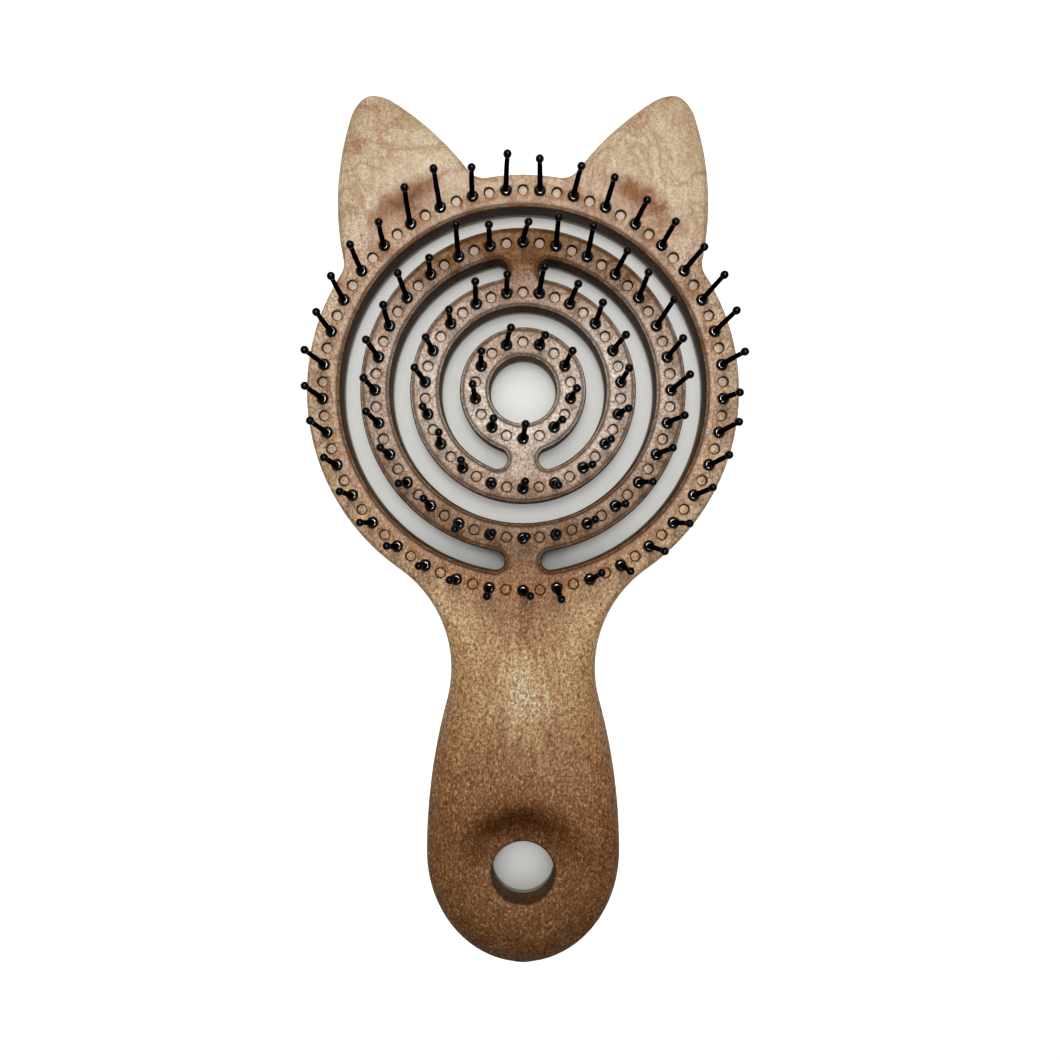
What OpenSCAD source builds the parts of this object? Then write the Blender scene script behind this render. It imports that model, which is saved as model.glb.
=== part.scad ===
// Vented detangling brush with two ears: a rim with handle, three floating rings and ball-tip pins.
// Millimetres. The back lies on z = 0, the pins point to +Z, the ears to +Y and the handle to -Y.

/* [Head] */
// Diameter of the open hole in the middle of the head
centre_hole_d = 13.5; // [11:0.5:18]
// Radial width of each floating ring
ring_w = 6.15; // [5.8:0.05:8]
// Width of the slots between the rings
slot_w = 4; // [3:0.1:5]
// Radial width of the fixed rim around the rings
rim_w = 7.2; // [6.4:0.1:9]
// Thickness of the rim and the rings from back to front
head_t = 7; // [6:0.1:9]
// Radius on the front edges of the rings and the slots
front_edge_r = 1; // [0.4:0.1:1.3]
// Radius on the back edges of the rings and the slots
back_edge_r = 0.8; // [0.3:0.1:1.2]
// Radius on the outer edges of the rim
rim_edge_r = 1; // [0.8:0.1:1.8]
// Thickness of the covers that close the back
cover_t = 2.2; // [1.8:0.1:3]

/* [Necks] */
// Width of the neck between the rim and the second ring
lower_neck_w = 7.4; // [5:0.1:9]
// Width of the neck between the second and the third ring
upper_neck_w = 6.3; // [5:0.1:8]
// Width of the neck between the third and the inner ring
inner_neck_w = 6.3; // [5:0.1:8]
// Length of a neck that bends, inward of its slot's middle
web_l = 1.2; // [0.8:0.1:1.4]
// Length of a neck that bends, outward of its slot's middle
web_pad = 0.3; // [0.2:0.05:0.5]

/* [Handle] */
// Width of the waist below the head
waist_w = 29.6; // [24:0.2:36]
// Radius of the hollow curve from the head into the waist
waist_r = 25; // [18:0.5:26]
// Greatest width of the handle
handle_w = 39.6; // [36:0.2:46]
// Distance from the rim to the line where head and handle meet
throat_l = 2; // [1:0.2:4]
// Distance from the middle of the head to the widest place
belly_d = 94.3; // [88:0.5:110]
// Length of the rounded end beyond the widest place
end_l = 23.1; // [20:0.5:28]
// Thickness of the handle at its highest place
handle_t = 12; // [10:0.2:15]
// Length over which the front rises from the rim to the handle
rise_l = 27; // [20:0.5:34]
// Width of the rounding along the sides of the handle
handle_edge = 5.5; // [3:0.1:7]
// Height of the sharpest line on the sides
side_z = 4.4; // [3.6:0.1:5]
// Drop of the front from the middle to the sides of the handle
crown_drop = 2.4; // [0:0.1:3]
// Drop of the front at the end of the handle
end_drop = 5; // [2:0.1:5]
// Length over which the front drops to the end
end_run = 36; // [28:1:42]

/* [Hanging hole] */
// Diameter of the hanging hole
hang_d = 12.7; // [10:0.1:15]
// Distance from the middle of the head to the hanging hole
hang_reach = 97.7; // [94:0.2:104]
// Wall of the handle around the hanging hole, back to front
hang_t = 8.7; // [8:0.1:10]
// Width of the flat round the hanging hole
hang_flat = 2.4; // [1.5:0.1:4]
// Width of the slope from that flat up to the handle
hang_slope = 7; // [5:0.5:12]

/* [Ears] */
// Distance from the middle of the head to the middle of an ear tip's arc
ear_reach = 61.6; // [58:0.2:66]
// Angle of that middle from straight up
ear_angle = 28.7; // [25:0.1:32]
// Lean of an ear outward
ear_tilt = 20.1; // [15:0.1:25]
// Radius of an ear tip
ear_tip_r = 6.06; // [5:0.1:8]
// Radius of the long sides of an ear
ear_side_r = 56.5; // [50:0.5:65]
// Half angle between the sides at the tip
ear_spread = 52; // [48:0.5:56]
// Radius in the corner between an ear and the rim
ear_root_r = 4; // [2:0.1:6]
// Rise of an ear above the front of the rim
ear_rise = 2; // [0.5:0.1:3]
// Share of that rise that is lost toward the sides of the ear
ear_crown = 0.8; // [0:0.1:1]
// Width of the slope from the rim up to the ear
ear_slope = 6; // [4:0.5:9]
// Width of the rounding along the ear
ear_edge = 1.5; // [1:0.1:4]

/* [Pins and pegs] */
// Pins on the inner ring
inner_count = 9; // [6:1:10]
// Pins on the third ring
third_count = 19; // [12:1:20]
// Pins on the second ring
second_count = 28; // [18:1:30]
// Pins on the rim
rim_count = 37; // [24:1:40]
// Height of a ball's middle above the front of the head
pin_h = 16.6; // [12:0.2:20]
// Diameter of the ball tip
ball_d = 1.5; // [1.2:0.1:2]
// Diameter of the shank under the ball
shank_tip_d = 0.76; // [0.5:0.02:0.9]
// Diameter of the shank at its foot
shank_foot_d = 1.1; // [0.8:0.02:1.3]
// Diameter of the collar in the front of the head
collar_d = 2.4; // [2:0.1:2.6]
// Height of the collar's cone above the front
collar_h = 0.9; // [0.5:0.1:1.5]
// Diameter of the flange that holds a pin from behind
flange_d = 3.4; // [3:0.1:3.6]
// Thickness of that flange
flange_t = 0.9; // [0.7:0.1:1.2]
// Diameter of the pegs that fix the covers
peg_d = 2.1; // [1.8:0.1:2.2]
// Depth of a peg's end below the front
peg_sink = 0.5; // [0.3:0.1:0.9]
// Clearance around pins and pegs
fit = 0.05; // [0.03:0.01:0.1]

/* [Hidden] */
$fn = 48;
over = 1;
bite = 0.05;
lap = 0.4;
grip_z = cover_t + flange_t + 2 * fit;
head_r = ring_in(3) + rim_w;
flat_r = head_r - rim_edge_r;
waist_x = waist_w / 2 + waist_r;
waist_y = -sqrt(pow(head_r + waist_r, 2) - pow(waist_x, 2));
half_w = handle_w / 2;
belly_y = -belly_d;
belly_r = (pow(waist_x - half_w, 2) + pow(waist_y - belly_y, 2) - pow(waist_r, 2))
    / (2 * (waist_r - waist_x + half_w));
start_y = waist_y * head_r / (head_r + waist_r);
throat_y = -head_r - throat_l;
join_y = belly_y + (waist_y - belly_y) * belly_r / (belly_r + waist_r);
ear_mid = ear_reach * [sin(ear_angle), cos(ear_angle)];
ear_axis = [sin(ear_tilt), cos(ear_tilt)];
ear_cross = [cos(ear_tilt), -sin(ear_tilt)];
side_back = (ear_side_r - ear_tip_r) * cos(ear_spread);
side_off = (ear_side_r - ear_tip_r) * sin(ear_spread);
ear_turn_s = ear_tip_r * cos(ear_spread);
ear_foot_s = slot_mid(2) + bite - ear_mid * ear_axis;
head_y = (belly_d + end_l - ear_mid.y - ear_tip_r) / 2;
counts = [inner_count, third_count, second_count, rim_count];
neck_ws = [inner_neck_w, upper_neck_w, lower_neck_w];

function ring_in(i) = centre_hole_d / 2 + i * (ring_w + slot_w);
function ring_out(i) = ring_in(i) + (i == 3 ? rim_w : ring_w);
function ring_mid(i) = (ring_in(i) + ring_out(i)) / 2;
function slot_mid(i) = ring_out(i) + slot_w / 2;
function slot_end_x(i) = neck_ws[i] / 2 + slot_w / 2;
function slot_end_y(i) = sqrt(pow(slot_mid(i), 2) - pow(slot_end_x(i), 2));
function slot_end_a(i) = asin(slot_end_x(i) / slot_mid(i));
function web_in(i) = slot_end_y(i) - web_l / 2;
function web_out(i) = slot_mid(i) + web_pad;
function smooth(t) = t < 0 ? 0 : t > 1 ? 1 : t * t * (3 - 2 * t);
function roll(t) = t > 1 ? 1 : sqrt(1 - pow(1 - max(t, 0), 2));

// Middle of a circle of radius r0 around c0 and r1 around c1, on the side picked by pick.
function meet(c0, r0, c1, r1, pick) =
    let (v = c1 - c0, l = norm(v), a = (r0 * r0 - r1 * r1 + l * l) / (2 * l), u = v / l)
    c0 + a * u + pick * sqrt(max(0, r0 * r0 - a * a)) * [-u.y, u.x];

// One wall of a slot or hole of half width w, flared by the edge radii at front and back.
function wall(w) = concat(
    [[w + front_edge_r, head_t + over]],
    [for (a = [90:18:180]) [w + front_edge_r * (1 + cos(a)), head_t + front_edge_r * (sin(a) - 1)]],
    [for (a = [180:18:270]) [w + back_edge_r * (1 + cos(a)), back_edge_r * (1 + sin(a))]],
    [[w + back_edge_r, -over]]);
function flip(p) = [for (i = [len(p) - 1:-1:0]) [-p[i].x, p[i].y]];

// Half width of the handle at height y, and the distance of a place from the handle's outline.
function handle_half(y) =
    y > join_y ? waist_x - sqrt(pow(waist_r, 2) - pow(y - waist_y, 2))
    : y > belly_y ? half_w - belly_r + sqrt(pow(belly_r, 2) - pow(y - belly_y, 2))
    : half_w * sqrt(max(0, 1 - pow((y - belly_y) / end_l, 2)));
function handle_gap(x, y) =
    y > join_y ? norm([abs(x) - waist_x, y - waist_y]) - waist_r
    : y > belly_y ? belly_r - norm([abs(x) - half_w + belly_r, y - belly_y])
    : let (q = norm([x / half_w, (y - belly_y) / end_l])) q < 0.01 ? half_w : norm([x, y - belly_y]) * (1 / q - 1);

// Height of the handle's front: it rises from the rim, crowns, and dips round the hanging hole.
function handle_top(x, y) =
    let (
        r = norm([x, y]),
        crown = crown_drop * pow(min(1, abs(x) / max(1, handle_half(y))), 2),
        tail = end_drop * pow(max(0, 1 - (y + belly_d + end_l) / end_run), 2),
        top = head_t + (handle_t - head_t - crown - tail) * smooth((r - flat_r) / rise_l),
        ramp = smooth((norm([x, y + hang_reach]) - hang_d / 2 - hang_flat) / hang_slope)
    )
    hang_t + (top - hang_t) * ramp - lap * smooth((flat_r + lap - r) / 2);
function handle_z(x, y) = side_z + (handle_top(x, y) - side_z) * roll(handle_gap(x, y) / handle_edge);

// Half width of an ear at s along its axis, and the distance of a place from the ear's outline.
function ear_half(s) =
    s > ear_turn_s ? sqrt(max(0, pow(ear_tip_r, 2) - s * s))
    : sqrt(pow(ear_side_r, 2) - pow(s + side_back, 2)) - side_off;
function ear_gap(s, t) =
    s > 0 && abs(t) < s * tan(ear_spread) ? ear_tip_r - norm([s, t])
    : ear_side_r - norm([s + side_back, abs(t) + side_off]);
function ear_at(s, t) = ear_mid + s * ear_axis + t * ear_cross;
function ear_top(s, t) =
    let (
        r = norm(ear_at(s, t)),
        crown = ear_crown * pow(min(1, abs(t) / max(1, ear_half(s))), 2)
    )
    head_t + ear_rise * (1 - crown) * smooth((r - flat_r) / ear_slope) - lap * smooth((flat_r + lap - r) / 2);

// Places across a loft, closer together near its sides.
across = [for (k = [-7:7]) sin(90 * k / 7)];
throat_ys = [for (k = [0:3]) start_y + (throat_y - start_y) * k / 3];
handle_ys = concat(
    [for (k = [0:4]) throat_y + (join_y - throat_y) * k / 5],
    [for (k = [0:9]) join_y + (belly_y - join_y) * k / 10],
    [for (a = [0:8.6:86]) belly_y - end_l * sin(a)]);
ear_ss = concat(
    [for (k = [0:11]) ear_foot_s + (ear_turn_s - ear_foot_s) * k / 12],
    [for (k = [0:5]) ear_tip_r * cos(ear_spread + (4 - ear_spread) * k / 5)]);

// Closed solid under rows of points that run from side to side, down to a flat floor.
module loft(rows, floor_z) {
    n = len(rows);
    m = len(rows[0]);
    feet = [for (row = rows) for (p = [row[0], row[m - 1]]) [p.x, p.y, floor_z]];
    points = concat([for (row = rows) for (p = row) p], feet);
    f = n * m;
    top = [for (i = [0:n - 2]) for (j = [0:m - 2]) for (t = [
        [i * m + j, (i + 1) * m + j + 1, (i + 1) * m + j],
        [i * m + j, i * m + j + 1, (i + 1) * m + j + 1]]) t];
    left = [for (i = [0:n - 2]) [(i + 1) * m, f + 2 * i + 2, f + 2 * i, i * m]];
    right = [for (i = [0:n - 2]) [f + 2 * i + 1, f + 2 * i + 3, (i + 1) * m + m - 1, i * m + m - 1]];
    under = [for (i = [0:n - 2]) [f + 2 * i + 2, f + 2 * i + 3, f + 2 * i + 1, f + 2 * i]];
    first = concat([f, f + 1], [for (j = [m - 1:-1:0]) j]);
    last = concat([f + 2 * n - 1, f + 2 * n - 2], [for (j = [0:m - 1]) (n - 1) * m + j]);
    polyhedron(points, concat(top, left, right, under, [first, last]), convexity = 6);
}

module both_sides() {
    children();
    mirror([1, 0, 0])
        children();
}

// Copies round a ring, counted from the handle side; half is 0.5 for the places between the pins.
module around(i, half) {
    for (k = [0:counts[i] - 1])
        rotate([0, 0, 360 * (k + half) / counts[i]])
            translate([0, -ring_mid(i), 0])
                children();
}

// Neck of ring i turned to its place: only the third ring hangs from above.
module at_neck(i) {
    rotate([0, 0, i == 1 ? 0 : 180])
        children();
}

// Space of the slot outside ring i, with round ends at the neck and flared edges.
module slot_space(i) {
    a = slot_end_a(i);
    w = slot_w / 2;
    at_neck(i) {
        rotate([0, 0, 90 + a])
            rotate_extrude(angle = 360 - 2 * a)
                translate([slot_mid(i), 0])
                    polygon(concat(wall(w), flip(wall(w))));
        both_sides()
            translate([slot_end_x(i), slot_end_y(i), 0])
                rotate_extrude()
                    hole_side(w - bite);
    }
}

module hole_side(w) {
    polygon(concat(wall(w), [[0, -over], [0, head_t + over]]));
}

// Block of the neck outside ring i that is left to bend.
module web_block(i, z0, z1) {
    at_neck(i)
        translate([-slot_end_x(i), web_in(i), z0])
            cube([2 * slot_end_x(i), web_out(i) - web_in(i), z1 - z0]);
}

module web(i, z0, z1) {
    difference() {
        web_block(i, z0, z1);
        slot_space(i);
    }
}

// Ring i between two heights, with its share of the necks.
module ring_slab(i, z0, z1) {
    difference() {
        translate([0, 0, z0])
            cylinder(r = slot_mid(i), h = z1 - z0);
        slot_space(i);
        web_block(i, -over, head_t + over);
        if (i == 0)
            rotate_extrude()
                hole_side(centre_hole_d / 2);
        if (i > 0) {
            translate([0, 0, -over])
                cylinder(r = slot_mid(i - 1), h = head_t + 2 * over);
            slot_space(i - 1);
            web_block(i - 1, -over, head_t + over);
        }
    }
}

module pin_hole() {
    translate([0, 0, cover_t - over])
        cylinder(d = collar_d + 2 * fit, h = head_t);
    translate([0, 0, cover_t - over])
        cylinder(d = flange_d + 2 * fit, h = over + grip_z - cover_t);
}

module peg_hole() {
    translate([0, 0, cover_t - over])
        cylinder(d = peg_d + 2 * fit, h = head_t);
}

module fixings(i) {
    around(i, 0)
        pin_hole();
    around(i, 0.5)
        peg_hole();
}

// Pegs that stand on a cover and hold the front over it.
module ring_pegs(i) {
    around(i, 0.5)
        translate([0, 0, cover_t])
            cylinder(d = peg_d, h = head_t - peg_sink - cover_t);
}

// Moulded pin: flange, collar, tapered shank and ball in one turned shape.
module pin() {
    ball_z = head_t + pin_h;
    rotate_extrude() {
        polygon([
            [0, cover_t],
            [flange_d / 2, cover_t],
            [flange_d / 2, cover_t + flange_t],
            [collar_d / 2, cover_t + flange_t],
            [collar_d / 2, head_t],
            [shank_foot_d / 2, head_t + collar_h],
            [shank_tip_d / 2, ball_z],
            [0, ball_z]]);
        intersection() {
            translate([0, ball_z])
                circle(d = ball_d);
            translate([0, ball_z - ball_d])
                square([ball_d, 2 * ball_d]);
        }
    }
}

module ring_front(i) {
    difference() {
        ring_slab(i, cover_t, head_t);
        fixings(i);
    }
}

module ring_pins(i) {
    around(i, 0)
        pin();
}

// Fill in the corner between an ear's side and the rim.
module ear_root(side, z0, z1) {
    mid = ear_at(-side_back, -side * side_off);
    p = meet([0, 0], head_r - bite + ear_root_r, mid, ear_side_r - bite + ear_root_r, -side);
    on_rim = p * (head_r - bite) / norm(p);
    on_ear = mid + (p - mid) * (ear_side_r - bite) / norm(p - mid);
    translate([0, 0, z0])
        linear_extrude(z1 - z0)
            difference() {
                polygon([on_rim * 0.96, on_rim, p, on_ear, on_ear - (p - on_ear) * 0.5]);
                translate(p)
                    circle(r = ear_root_r);
            }
}

// Rim with round outer edges between two heights.
module rim_slab(z0, z1) {
    rotate_extrude()
        polygon([
            [slot_mid(2), z0],
            each (z0 > 0 ? [[head_r, z0]]
                : [for (a = [270:15:360]) [flat_r + rim_edge_r * cos(a), rim_edge_r * (1 + sin(a))]]),
            each (z1 < head_t ? [[head_r, z1]]
                : [for (a = [0:15:90]) [flat_r + rim_edge_r * cos(a), head_t + rim_edge_r * (sin(a) - 1)]]),
            [slot_mid(2), z1]]);
}

module handle_loft(ys) {
    loft([for (y = ys) [for (u = across) let (x = u * handle_half(y)) [x, y, handle_z(x, y)]]], cover_t);
}

module ear_loft() {
    loft([for (s = ear_ss) [for (u = across)
        let (t = -u * ear_half(s), p = ear_at(s, t))
        [p.x, p.y, side_z + (ear_top(s, t) - side_z) * roll(ear_gap(s, t) / ear_edge)]]], cover_t);
}

module handle_back(ys) {
    translate([0, 0, cover_t])
        mirror([0, 0, 1])
            loft([for (y = ys) [for (u = across)
                let (x = u * handle_half(y))
                [x, y, cover_t * (0.4 + 0.6 * roll(handle_gap(x, y) / cover_t))]]], 0);
}

module ear_back() {
    translate([0, 0, cover_t])
        mirror([0, 0, 1])
            loft([for (s = ear_ss) [for (u = across)
                let (t = -u * ear_half(s), p = ear_at(s, t))
                [p.x, p.y, cover_t * (0.4 + 0.6 * roll(ear_gap(s, t) / cover_t))]]], 0);
}

// Space that the rim leaves free: the slot outside the second ring and its neck.
module rim_space() {
    slot_space(2);
    web_block(2, -over, head_t + over);
}

module hang_space() {
    translate([0, -hang_reach, -over])
        cylinder(d = hang_d, h = handle_t + 2 * over);
}

module front_frame() {
    color("#b08a63")
        difference() {
            union() {
                rim_slab(cover_t, head_t);
                handle_loft(throat_ys);
                both_sides() {
                    ear_loft();
                    ear_root(1, cover_t, side_z);
                    ear_root(-1, cover_t, side_z);
                }
            }
            rim_space();
            fixings(3);
        }
}

module rear_cover() {
    color("#a88159")
        difference() {
            union() {
                rim_slab(0, cover_t);
                handle_back(throat_ys);
                both_sides() {
                    ear_back();
                    ear_root(1, cover_t * 0.6, cover_t);
                    ear_root(-1, cover_t * 0.6, cover_t);
                }
            }
            rim_space();
        }
}

module handle_front() {
    color("#b08a63")
        difference() {
            handle_loft(handle_ys);
            hang_space();
        }
}

module handle_rear() {
    color("#a88159")
        difference() {
            handle_back(handle_ys);
            hang_space();
        }
}

module rim_pegs() {
    color("#a88159")
        ring_pegs(3);
}

module rim_pins() {
    color("#17171a")
        ring_pins(3);
}

module lower_neck_front() {
    color("#b08a63")
        web(2, cover_t, head_t);
}

module lower_neck_rear() {
    color("#a88159")
        web(2, 0, cover_t);
}

module second_ring() {
    color("#b48f6c")
        ring_front(2);
}

module second_ring_cover() {
    color("#a88159")
        ring_slab(2, 0, cover_t);
}

module second_ring_pegs() {
    color("#a88159")
        ring_pegs(2);
}

module second_ring_pins() {
    color("#17171a")
        ring_pins(2);
}

module upper_neck_front() {
    color("#b48f6c")
        web(1, cover_t, head_t);
}

module upper_neck_rear() {
    color("#a88159")
        web(1, 0, cover_t);
}

module third_ring() {
    color("#b48f6c")
        ring_front(1);
}

module third_ring_cover() {
    color("#a88159")
        ring_slab(1, 0, cover_t);
}

module third_ring_pegs() {
    color("#a88159")
        ring_pegs(1);
}

module third_ring_pins() {
    color("#17171a")
        ring_pins(1);
}

module inner_neck_front() {
    color("#b48f6c")
        web(0, cover_t, head_t);
}

module inner_neck_rear() {
    color("#a88159")
        web(0, 0, cover_t);
}

module inner_ring() {
    color("#b48f6c")
        ring_front(0);
}

module inner_ring_cover() {
    color("#a88159")
        ring_slab(0, 0, cover_t);
}

module inner_ring_pegs() {
    color("#a88159")
        ring_pegs(0);
}

module inner_ring_pins() {
    color("#17171a")
        ring_pins(0);
}

translate([0, head_y, 0]) {
    front_frame();
    rear_cover();
    handle_front();
    handle_rear();
    rim_pegs();
    rim_pins();
    lower_neck_front();
    lower_neck_rear();
    second_ring();
    second_ring_cover();
    second_ring_pegs();
    second_ring_pins();
    upper_neck_front();
    upper_neck_rear();
    third_ring();
    third_ring_cover();
    third_ring_pegs();
    third_ring_pins();
    inner_neck_front();
    inner_neck_rear();
    inner_ring();
    inner_ring_cover();
    inner_ring_pegs();
    inner_ring_pins();
}
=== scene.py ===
"""Hollow detangling brush with ears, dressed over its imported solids.

Plan shapes are paths of tangent arcs. Fronts are height fields over those plans, walls are profiles
carried along the paths, and pins are turned profiles. Lengths in the code are millimetres around the
middle of the head; to_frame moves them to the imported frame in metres.
"""

import math
from functools import partial
from types import SimpleNamespace

import bmesh
import bpy
import numpy as np
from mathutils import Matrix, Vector
from mathutils.geometry import delaunay_2d_cdt


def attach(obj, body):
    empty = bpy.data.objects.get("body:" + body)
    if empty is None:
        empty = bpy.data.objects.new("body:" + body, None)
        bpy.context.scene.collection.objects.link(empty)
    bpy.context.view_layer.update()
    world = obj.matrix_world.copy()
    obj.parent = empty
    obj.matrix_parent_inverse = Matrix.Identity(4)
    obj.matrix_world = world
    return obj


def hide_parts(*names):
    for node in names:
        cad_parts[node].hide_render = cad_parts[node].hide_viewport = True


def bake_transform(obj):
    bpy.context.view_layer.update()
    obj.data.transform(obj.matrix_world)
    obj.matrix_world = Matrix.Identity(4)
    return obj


bl_info = {
    "name": "Hollow ring brush",
    "version": (1, 0, 0),
    "blender": (4, 5, 0),
    "location": "View3D > Sidebar > Brush",
    "description": "Builds a hollow ring brush with ears, ball-tip pins and a fibre-composite finish",
    "category": "Object",
}

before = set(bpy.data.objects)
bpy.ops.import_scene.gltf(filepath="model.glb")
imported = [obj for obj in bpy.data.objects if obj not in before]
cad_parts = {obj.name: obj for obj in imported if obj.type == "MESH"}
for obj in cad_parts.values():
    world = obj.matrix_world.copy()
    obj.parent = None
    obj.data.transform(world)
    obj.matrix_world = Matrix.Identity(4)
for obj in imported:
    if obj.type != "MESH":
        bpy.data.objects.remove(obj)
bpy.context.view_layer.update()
MM = 0.001
RIM = 3
RING_WORDS = ("inner", "third", "second", "rim")
BODY_OF_RING = ("inner_ring", "third_ring", "second_ring", "frame")
NECK_OF_RING = ("inner_neck", "upper_neck", "lower_neck")
# Where each neck lies from the middle of the head: 1 toward the ears, -1 toward the handle
NECK_SIDES = (-1, 1, -1)

# Points round the circles
CENTRE_STEPS, HANG_STEPS, SOCKET_STEPS, PIN_STEPS = 110, 96, 28, 18
# Marks down the slot wall of a front: face, groove, lip and the wall a core forms. The groove's marks paint a dark
# line of shade in it, and the wall's marks paint shade on the wall.
SLOT_MARKS = np.array([0, -0.5, -1, -1, -0.6, 0.1, 0.8, 1, 1, 1, 1, 1])
# Marks down the recess of a peg: face, gap and the peg's end. The gap's marks paint a dark ring of shade round the
# peg's end.
PEG_MARKS = [0, 0.6, 0.7, 0.8, 0.8, 2, 2, 2.0]
# Painted shade on the wall of the hanging hole, a little lighter than on the slot walls.
HANG_MARK = 0.7
BALL_MARK = 0.15
# Sizes of the material patterns in millimetres
MOTTLE_MM, VEIN_MM, RIB_MM, GRAIN_MM, RIPPLE_MM = 9, 15, 1.2, 0.55, 0.8
STREAK_MM, FIBRE_MM, ARC_MM = (1.2, 6, 3), (0.34, 0.8, 0.5), (0.34, 1.6, 0.5)
# Bands of y in the imported frame, in millimetres, over which a finish changes. Over the head band the tint turns
# paler, partly as a painted sheen; over the peg band the peg ends are painted lighter toward the top.
HEAD_BAND, PEG_LIGHT_BAND = (-15, 30), (-10, 66)
FIBRE_BAND, GRAIN_BAND, GLOSS_BAND = (60, -20), (66, 52), (5, -20)
# Distance of the waist's lines below the origin, and of the arcs from the middle of the hanging hole
WAIST_MM, ARCS_MM = 32, 12


# Settings


def length(name, description, mm):
    """A length property, given in millimetres and kept in metres."""
    return bpy.props.FloatProperty(name=name, description=description, default=mm * MM, unit="LENGTH", precision=5)


def angle(name, description, degrees):
    """An angle property, given in degrees and kept in radians."""
    return bpy.props.FloatProperty(name=name, description=description, default=math.radians(degrees), unit="ROTATION")


def count(name, description, number):
    """A whole number property."""
    return bpy.props.IntProperty(name=name, description=description, default=number)


def shade(name, description, hex_value):
    """A colour property that holds an sRGB hex value."""
    return bpy.props.StringProperty(name=name, description=description, default=hex_value)


class HeadSizes(bpy.types.PropertyGroup):
    """Sizes of the rim, the floating rings, the slots and the necks."""

    centre_hole_r: length("Centre hole radius", "Radius of the hole in the inner ring", 6.75)
    ring_w: length("Ring width", "Radial width of a floating ring", 6.15)
    slot_w: length("Slot width", "Width of the slots between the rings", 4.0)
    rim_w: length("Rim width", "Radial width of the rim", 7.2)
    head_t: length("Head thickness", "Thickness of rim and rings", 7.0)
    cover_t: length("Cover thickness", "Thickness of the rear covers", 2.2)
    front_edge: length("Front edge", "Width of the round on the front edges of the slots", 0.8)
    lip: length("Lip", "Height of the fine lip along the front edges of the slots", 0.14)
    back_edge: length("Back edge", "Radius on the back edges", 0.8)
    rim_edge: length("Rim edge", "Radius on the outer edge of the rim", 1.0)
    seam: length("Seam", "Bevel of the seam between front and cover", 0.18)
    inner_neck_w: length("Inner neck", "Width of the neck of the inner ring", 6.3)
    upper_neck_w: length("Upper neck", "Width of the neck of the third ring", 6.3)
    lower_neck_w: length("Lower neck", "Width of the neck of the second ring", 7.4)
    neck_bend: length("Neck bend", "Length over which a neck bends", 1.6)


class HandleSizes(bpy.types.PropertyGroup):
    """Sizes of the handle and the hanging hole."""

    waist_w: length("Waist width", "Width of the waist below the head", 29.6)
    waist_r: length("Waist radius", "Radius of the hollow curve into the waist", 25.0)
    handle_w: length("Handle width", "Greatest width of the handle", 39.6)
    belly_d: length("Belly distance", "From the middle of the head to the widest place", 94.3)
    end_l: length("End length", "Rounded end beyond the widest place", 23.1)
    handle_t: length("Handle thickness", "Thickness at the highest place", 12.0)
    rise_l: length("Rise", "Length of the rise from rim to handle", 27.0)
    edge: length("Side rounding", "Width of the rounding along the sides", 5.5)
    side_z: length("Side height", "Height of the sides where the rounding ends", 4.4)
    crown_drop: length("Crown", "Drop of the front from middle to sides", 2.4)
    end_drop: length("End drop", "Drop of the front at the end", 5.0)
    end_run: length("End run", "Length over which the front drops to the end", 36.0)
    hang_r: length("Hanging hole radius", "Radius of the hanging hole", 6.35)
    hang_reach: length("Hanging hole place", "From the middle of the head to the hole", 97.7)
    hang_t: length("Hanging hole wall", "Thickness around the hanging hole", 8.7)
    hang_flat: length("Hanging hole flat", "Width of the flat round the hole", 2.4)
    hang_slope: length("Hanging hole slope", "Width of the slope up to the handle", 7.0)
    hang_edge: length("Hanging hole edge", "Radius on the edges of the hanging hole", 0.7)


class EarSizes(bpy.types.PropertyGroup):
    """Sizes of the two ears."""

    reach: length("Reach", "From the middle of the head to the middle of the tip's arc", 61.6)
    bearing: angle("Bearing", "Angle of the tip's arc from straight up", 28.7)
    tilt: angle("Tilt", "Lean of the ear outward", 20.1)
    tip_r: length("Tip radius", "Radius of the ear tip", 6.06)
    side_r: length("Side radius", "Radius of the long sides", 56.5)
    spread: angle("Spread", "Half angle between the sides at the tip", 52.0)
    root_r: length("Root radius", "Radius in the corner between ear and rim", 4.0)
    rise: length("Rise", "Rise of the ear above the rim", 2.0)
    crown: bpy.props.FloatProperty(
        name="Crown", description="Share of the rise lost toward the sides", default=0.8, subtype="FACTOR"
    )
    slope: length("Slope", "Width of the slope from rim to ear", 6.0)
    edge: length("Edge", "Width of the rounding along the ear", 1.5)


class PinSizes(bpy.types.PropertyGroup):
    """Counts and sizes of the pins and of the pegs between them."""

    inner: count("Inner pins", "Pins on the inner ring", 9)
    third: count("Third pins", "Pins on the third ring", 19)
    second: count("Second pins", "Pins on the second ring", 28)
    rim: count("Rim pins", "Pins on the rim", 37)
    height: length("Height", "Height of a ball's middle above the front", 16.6)
    ball_r: length("Ball radius", "Radius of the ball tip", 0.8)
    shank_tip_r: length("Shank tip", "Radius of the shank under the ball", 0.45)
    shank_foot_r: length("Shank foot", "Radius of the shank at its foot", 0.55)
    collar_r: length("Collar radius", "Radius of the collar in the front", 1.2)
    collar_h: length("Collar height", "Height of the collar's bead", 0.45)
    peg_r: length("Peg radius", "Radius of a peg's end", 1.05)
    peg_sink: length("Peg depth", "Depth of a peg's end below the front", 0.8)
    lean: length("Lean", "Spread of the ball tips from straight up", 0.6)
    seed: count("Seed", "Seed of the lean", 11)


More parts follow.
